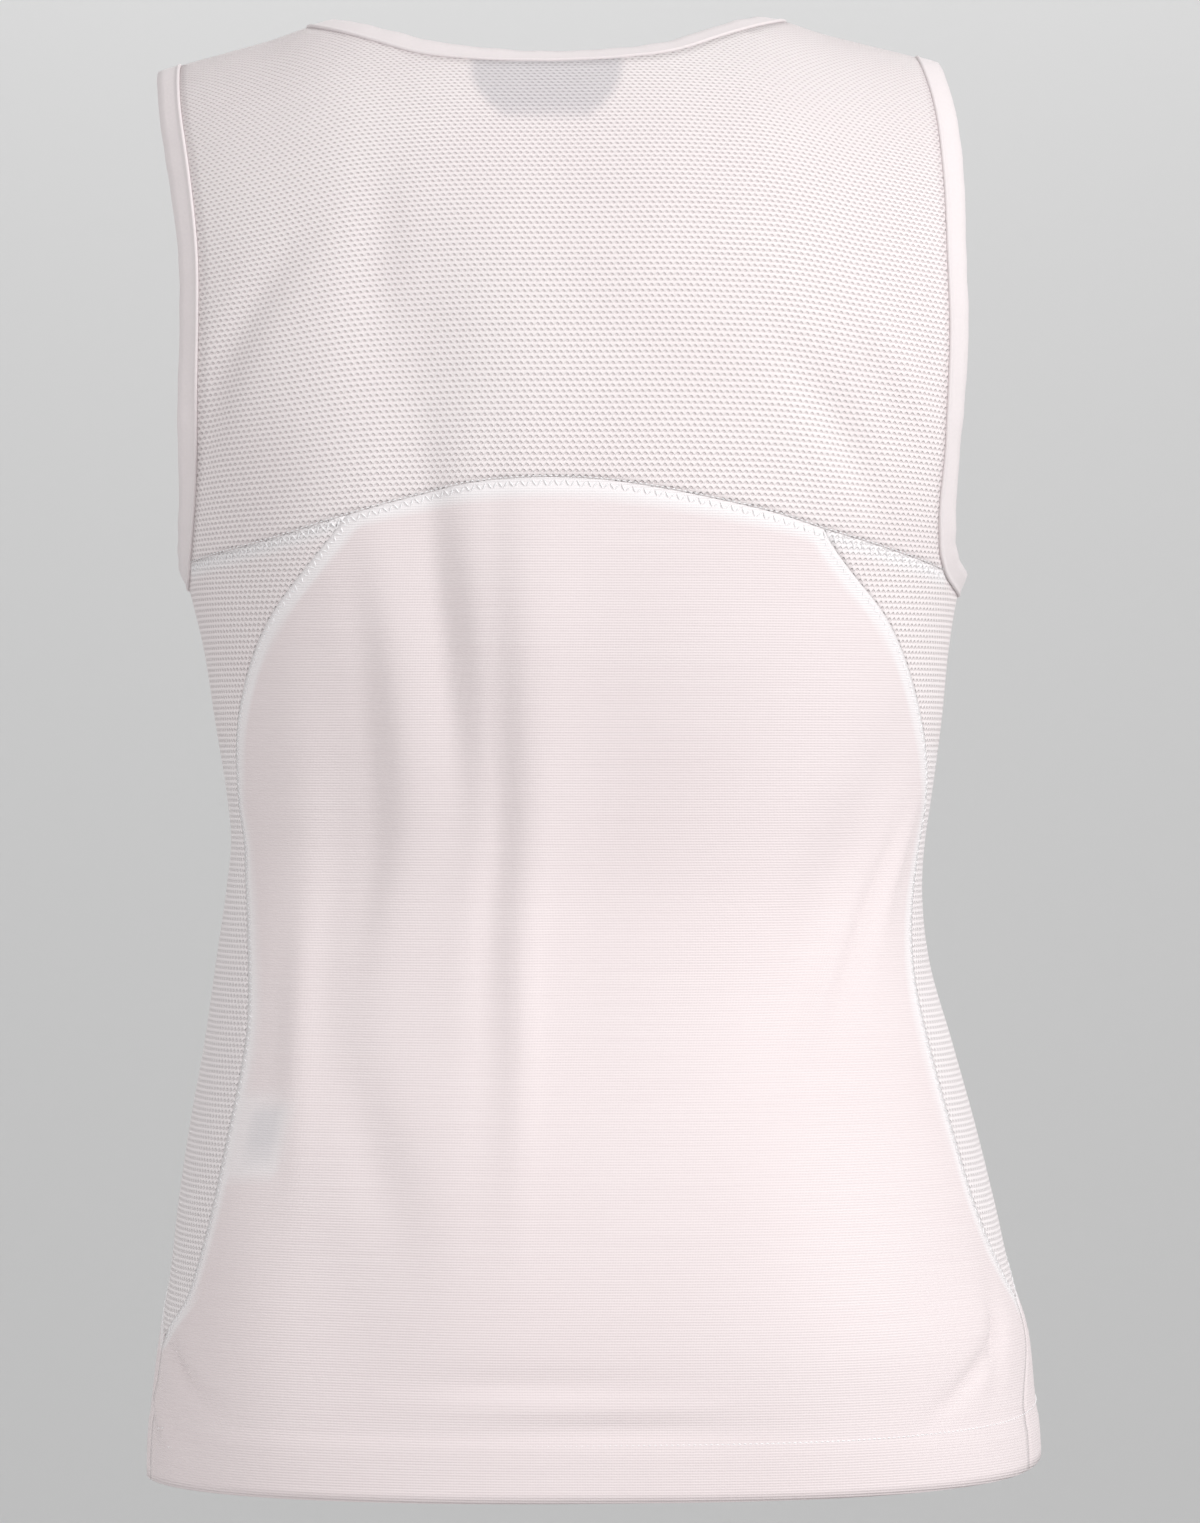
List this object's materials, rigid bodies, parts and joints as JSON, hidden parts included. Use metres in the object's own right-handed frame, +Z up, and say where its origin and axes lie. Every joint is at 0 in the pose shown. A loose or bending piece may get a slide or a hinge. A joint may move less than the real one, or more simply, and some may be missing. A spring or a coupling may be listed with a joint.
{
  "type": "running singlet",
  "caption": "Sleeveless running singlet in worn form: mesh yoke and side panels, plain body, bound neck and armholes, turned-up hem.",
  "frame": {"origin": "midway between the tops of the two shoulder straps, on the level of the middle of the shoulder seams", "axes": "+Z up, +Y towards the wearer's front, +X towards the wearer's right"},
  "size_m": [0.3832, 0.2397, 0.6248],
  "materials": {
    "mesh": "open eyelet knit, matt, very pale pinkish white",
    "knit": "fine ribbed knit, slight sheen, very pale pinkish white",
    "trim": "smooth folded knit, white",
    "neck_label": "woven, grey-blue, bare",
    "care_label": "smooth woven, off-white, bare"
  },
  "bodies": {
    "root": {"back_yoke": "mesh", "back_panel": "knit", "front_panel": "knit", "side_panel_left": "mesh", "side_panel_right": "mesh", "neck_binding": "trim", "armhole_binding_left": "trim", "armhole_binding_right": "trim", "neck_label": "neck_label", "care_label": "care_label"}
  },
  "joints": []
}
